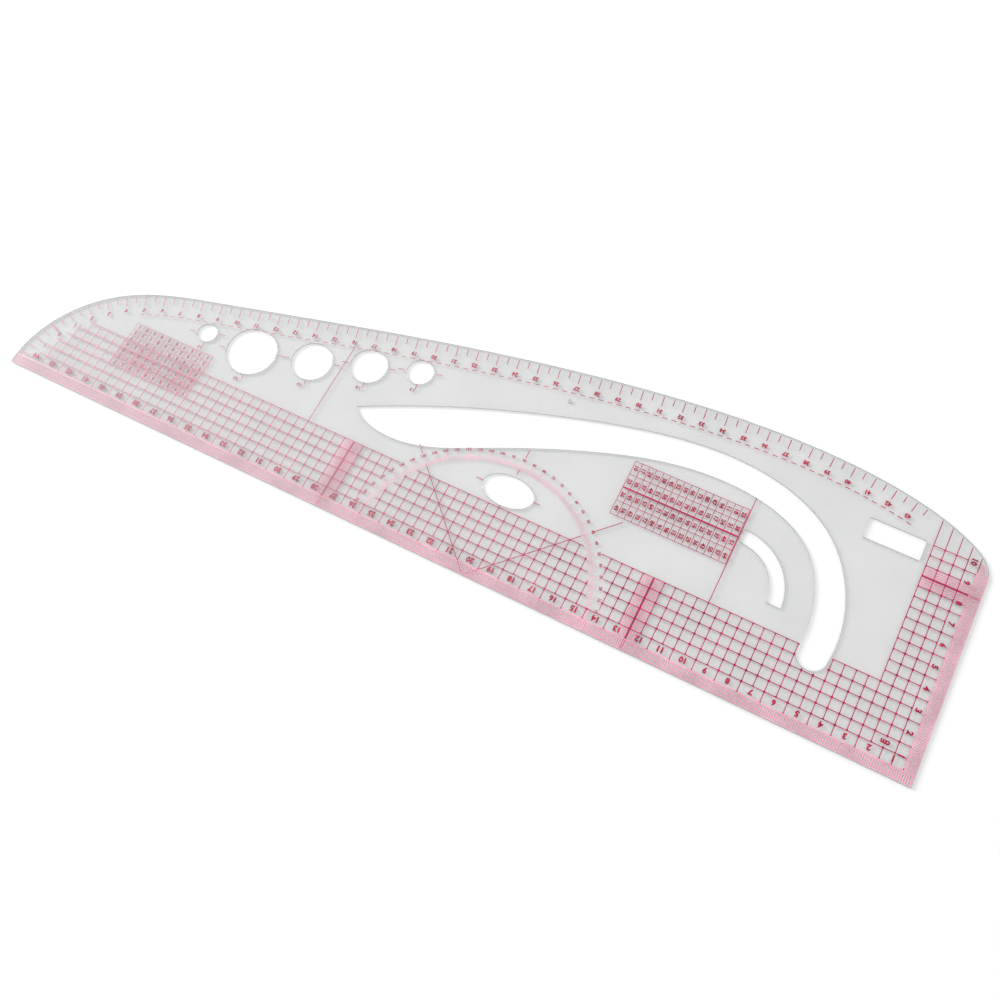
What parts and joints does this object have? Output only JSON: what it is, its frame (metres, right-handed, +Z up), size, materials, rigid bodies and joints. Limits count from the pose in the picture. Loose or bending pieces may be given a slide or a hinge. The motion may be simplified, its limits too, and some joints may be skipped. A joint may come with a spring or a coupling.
{
  "type": "french curve",
  "caption": "Flat clear plastic drafting ruler with a straight edge, a long curved edge, template cut-outs, and printed scales, grid and protractor.",
  "frame": {"origin": "under the middle of the ruler's box, on the surface that it lies on", "axes": "+X along the straight edge towards the square end edge, +Y from the straight edge towards the curved edge, +Z up out of the printed face"},
  "size_m": [0.4501, 0.1221, 0.0012],
  "materials": {
    "clear_plastic": "clear polished sheet with a faint grey tone",
    "print_ink": "satin crimson screen print"
  },
  "bodies": {
    "root": {"clear_sheet": "clear_plastic", "accent_bands": "print_ink", "button_table": "print_ink", "button_table_numbers": "print_ink", "curved_edge_numbers": "print_ink", "curved_edge_scale": "print_ink", "divider_lines": "print_ink", "end_edge_numbers": "print_ink", "end_edge_scale": "print_ink", "grading_table": "print_ink", "grading_table_numbers": "print_ink", "hole_marks": "print_ink", "hole_numbers": "print_ink", "protractor_numbers": "print_ink", "protractor_rays": "print_ink", "protractor_scale": "print_ink", "seam_allowance_line": "print_ink", "square_grid": "print_ink", "straight_edge_numbers": "print_ink", "straight_edge_scale": "print_ink", "unit_mark": "print_ink"}
  },
  "joints": []
}
